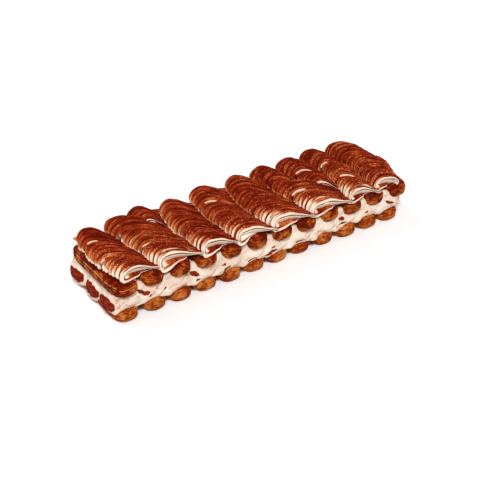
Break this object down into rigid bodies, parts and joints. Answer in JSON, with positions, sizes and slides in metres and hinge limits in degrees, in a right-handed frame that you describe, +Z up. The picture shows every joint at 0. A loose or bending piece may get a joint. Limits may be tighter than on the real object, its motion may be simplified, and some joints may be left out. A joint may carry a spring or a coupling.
{
  "type": "tiramisu",
  "caption": "Long tiramisu log: ladyfingers laid crosswise below and above a cream layer, topped with ribbed, overlapping swells of piped cream dusted with cocoa.",
  "frame": {"origin": "middle of the footprint's bounding box, on the surface that the log rests on", "axes": "+X along the log towards its right end as shown, -Y towards the side shown, +Z up"},
  "size_m": [0.333, 0.0984, 0.0531],
  "materials": {
    "ladyfinger": "matte baked crust, a little wrinkled",
    "soaked_ladyfinger": "soaked and cocoa dusted, satin",
    "cream": "soft satin whipped cream with cocoa streaks",
    "cocoa_dusted_cream": "matte cocoa powder over ribbed cream"
  },
  "bodies": {
    "root": {"cream_layer": "cream", "ladyfinger_lower_01": "ladyfinger", "ladyfinger_lower_02": "ladyfinger", "ladyfinger_lower_03": "ladyfinger", "ladyfinger_lower_04": "ladyfinger", "ladyfinger_lower_05": "ladyfinger", "ladyfinger_lower_06": "ladyfinger", "ladyfinger_lower_07": "ladyfinger", "ladyfinger_lower_08": "ladyfinger", "ladyfinger_lower_09": "ladyfinger", "ladyfinger_lower_10": "ladyfinger", "ladyfinger_lower_11": "ladyfinger", "ladyfinger_lower_12": "ladyfinger", "ladyfinger_upper_01": "soaked_ladyfinger", "ladyfinger_upper_02": "soaked_ladyfinger", "ladyfinger_upper_03": "soaked_ladyfinger", "ladyfinger_upper_04": "soaked_ladyfinger", "ladyfinger_upper_05": "soaked_ladyfinger", "ladyfinger_upper_06": "soaked_ladyfinger", "ladyfinger_upper_07": "soaked_ladyfinger", "ladyfinger_upper_08": "soaked_ladyfinger", "ladyfinger_upper_09": "soaked_ladyfinger", "ladyfinger_upper_10": "soaked_ladyfinger", "ladyfinger_upper_11": "soaked_ladyfinger", "ladyfinger_upper_12": "soaked_ladyfinger", "piped_row_1": "cocoa_dusted_cream", "piped_row_2": "cocoa_dusted_cream", "piped_row_2_short": "cocoa_dusted_cream", "piped_row_3": "cocoa_dusted_cream", "piped_row_4": "cocoa_dusted_cream", "piped_row_5": "cocoa_dusted_cream", "piped_row_6": "cocoa_dusted_cream", "piped_row_6_short": "cocoa_dusted_cream", "piped_row_7": "cocoa_dusted_cream", "piped_row_8": "cocoa_dusted_cream"}
  },
  "joints": []
}
